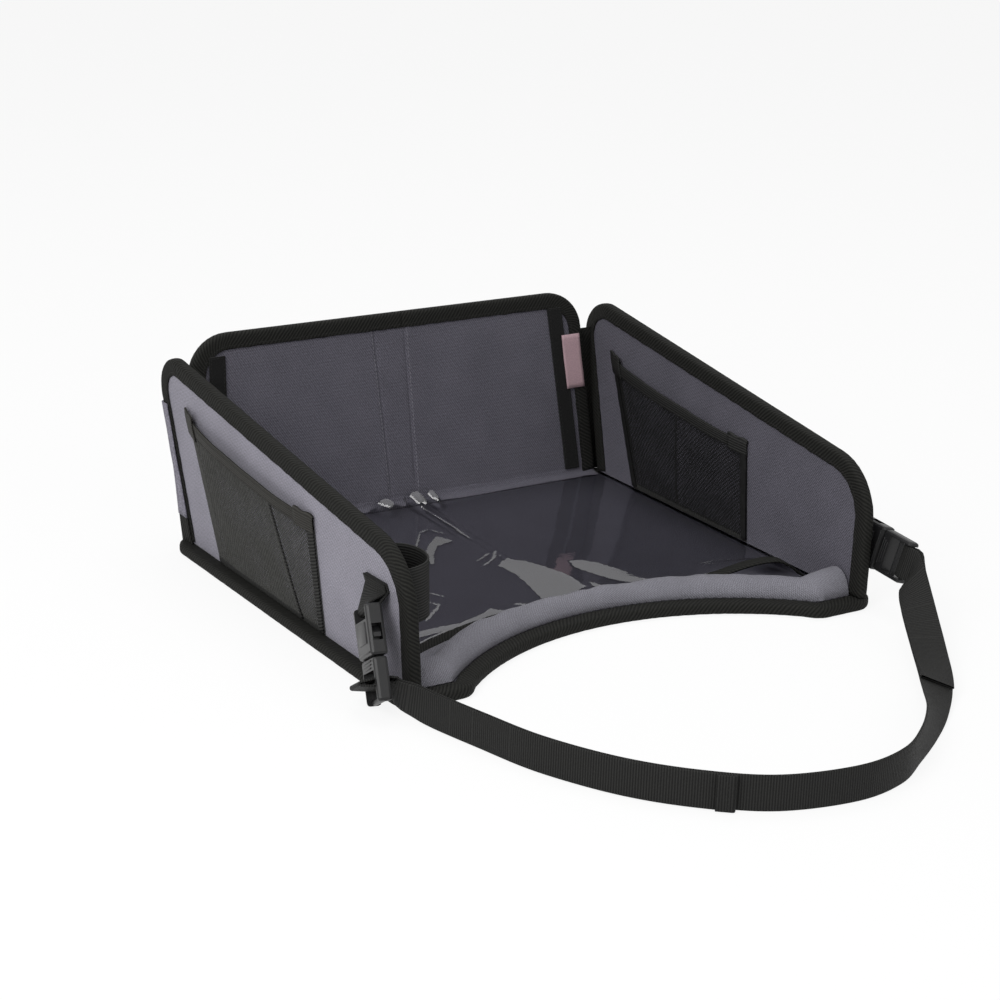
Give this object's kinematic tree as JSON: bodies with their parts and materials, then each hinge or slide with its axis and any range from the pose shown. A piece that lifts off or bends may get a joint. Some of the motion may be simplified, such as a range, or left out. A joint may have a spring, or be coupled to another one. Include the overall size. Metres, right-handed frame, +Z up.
{
  "type": "child car seat travel tray",
  "caption": "Fold-flat fabric tray with bound walls, clear floor sheet, mesh pockets, cup loop, padded belly cut-out and a waist strap on release buckles.",
  "frame": {"origin": "underside of the floor, in the middle of its width and depth", "axes": "+Z up; -Y towards the child, where the belly cut-out is; +X towards the right side wall"},
  "size_m": [0.3884, 0.5314, 0.1419],
  "materials": {
    "grey_fabric": "fine woven polyester",
    "board": "plain stiff sheet",
    "black_tape": "twill binding tape",
    "black_net": "open mesh",
    "black_elastic": "ribbed elastic",
    "clear_vinyl": "glossy clear film",
    "tab_cloth": "brushed loop cloth",
    "closure": "hook-and-loop strip",
    "pink_tag": "plain woven tag",
    "webbing": "ribbed webbing",
    "buckle_plastic": "moulded satin black"
  },
  "bodies": {
    "floor_left": {"floor_board_left": "board", "floor_inner_cover_left": "grey_fabric", "floor_outer_cover_left": "grey_fabric", "floor_binding_left": "black_tape", "clear_sheet_left": "clear_vinyl", "clear_sheet_tape_left": "black_tape", "front_pad_left": "grey_fabric", "waist_strap": "webbing"},
    "back_left": {"back_board_left": "board", "back_inner_cover_left": "grey_fabric", "back_outer_cover_left": "grey_fabric", "back_binding_left": "black_tape", "closure_strip_left": "closure"},
    "left_wall": {"side_board_left": "board", "side_inner_cover_left": "grey_fabric", "side_outer_cover_left": "grey_fabric", "side_binding_left": "black_tape", "left_pocket_net": "black_net", "left_pocket_hem": "black_elastic", "corner_tab_left": "tab_cloth", "left_buckle_tab": "webbing", "cup_loop": "black_elastic"},
    "left_socket": {"left_buckle_socket": "buckle_plastic"},
    "left_plug": {"left_buckle_plug": "buckle_plastic"},
    "left_prong_low": {"left_buckle_prong_low": "buckle_plastic"},
    "left_prong_high": {"left_buckle_prong_high": "buckle_plastic"},
    "floor_right": {"floor_board_right": "board", "floor_inner_cover_right": "grey_fabric", "floor_outer_cover_right": "grey_fabric", "floor_binding_right": "black_tape", "clear_sheet_right": "clear_vinyl", "clear_sheet_tape_right": "black_tape", "front_pad_right": "grey_fabric"},
    "back_right": {"back_board_right": "board", "back_inner_cover_right": "grey_fabric", "back_outer_cover_right": "grey_fabric", "back_binding_right": "black_tape", "closure_strip_right": "closure", "side_tag": "pink_tag"},
    "right_wall": {"side_board_right": "board", "side_inner_cover_right": "grey_fabric", "side_outer_cover_right": "grey_fabric", "side_binding_right": "black_tape", "right_pocket_net": "black_net", "right_pocket_hem": "black_elastic", "corner_tab_right": "tab_cloth", "right_buckle_tab": "webbing"},
    "right_socket": {"right_buckle_socket": "buckle_plastic"},
    "right_plug": {"right_buckle_plug": "buckle_plastic"},
    "right_prong_low": {"right_buckle_prong_low": "buckle_plastic"},
    "right_prong_high": {"right_buckle_prong_high": "buckle_plastic"}
  },
  "joints": [
    {"name": "centre_fold", "type": "hinge", "parent": "floor_left", "child": "floor_right", "pos_m": [0, 0, 0], "axis": [0, 1, 0], "range_deg": [0, 175], "deforming": ["waist_strap", "left_buckle_tab", "right_buckle_tab"]},
    {"name": "left_wall_fold", "type": "hinge", "parent": "floor_left", "child": "left_wall", "pos_m": [-0.1606, 0, 0.0087], "axis": [0, 1, 0], "range_deg": [0, 94], "deforming": ["front_pad_left", "left_pocket_net", "left_pocket_hem", "cup_loop", "corner_tab_left"]},
    {"name": "right_wall_fold", "type": "hinge", "parent": "floor_right", "child": "right_wall", "pos_m": [0.1606, 0, 0.0087], "axis": [0, -1, 0], "range_deg": [0, 90.5], "deforming": ["front_pad_right", "right_pocket_net", "right_pocket_hem", "corner_tab_right"]},
    {"name": "back_left_fold", "type": "hinge", "parent": "floor_left", "child": "back_left", "pos_m": [0, 0.145, 0.0182], "axis": [1, 0, 0], "range_deg": [0, 95]},
    {"name": "back_right_fold", "type": "hinge", "parent": "floor_right", "child": "back_right", "pos_m": [0, 0.145, 0.0182], "axis": [1, 0, 0], "range_deg": [0, 95]},
    {"name": "left_buckle_swing", "type": "hinge", "parent": "left_wall", "child": "left_socket", "pos_m": [-0.1818, -0.1225, 0.054], "axis": [0.1948, 0.8438, -0.5], "range_deg": [0, 60]},
    {"name": "left_buckle_release", "type": "slide", "parent": "left_socket", "child": "left_plug", "axis": [-0.1125, -0.4872, -0.866], "range_m": [0, 0.022], "deforming": ["left_buckle_prong_low", "left_buckle_prong_high"]},
    {"name": "left_prong_low_press", "type": "hinge", "parent": "left_plug", "child": "left_prong_low", "pos_m": [-0.18334, -0.12918, 0.02563], "axis": [0.9744, -0.225, 0], "range_deg": [0, 8], "stiffness_Nm_per_rad": 0.02},
    {"name": "left_prong_high_press", "type": "hinge", "parent": "left_plug", "child": "left_prong_high", "pos_m": [-0.18656, -0.1431, 0.03388], "axis": [-0.9744, 0.225, 0], "range_deg": [0, 8], "stiffness_Nm_per_rad": 0.02},
    {"name": "right_buckle_swing", "type": "hinge", "parent": "right_wall", "child": "right_socket", "pos_m": [0.1788, -0.1235, 0.04], "axis": [0.2723, -0.0527, 0.9608], "range_deg": [0, 60]},
    {"name": "right_buckle_release", "type": "slide", "parent": "right_socket", "child": "right_plug", "axis": [-0.0697, -0.997, -0.0349], "range_m": [0, 0.022], "deforming": ["right_buckle_prong_low", "right_buckle_prong_high"]},
    {"name": "right_prong_low_press", "type": "hinge", "parent": "right_plug", "child": "right_prong_low", "pos_m": [0.1746, -0.15098, 0.0311], "axis": [0.9597, -0.0575, -0.2752], "range_deg": [0, 8], "stiffness_Nm_per_rad": 0.02},
    {"name": "right_prong_high_press", "type": "hinge", "parent": "right_plug", "child": "right_prong_high", "pos_m": [0.1791, -0.15185, 0.04695], "axis": [-0.9597, 0.0575, 0.2752], "range_deg": [0, 8], "stiffness_Nm_per_rad": 0.02}
  ],
  "couplings": [
    {"joint": "back_right_fold", "follows": "back_left_fold", "ratio": 1}
  ]
}
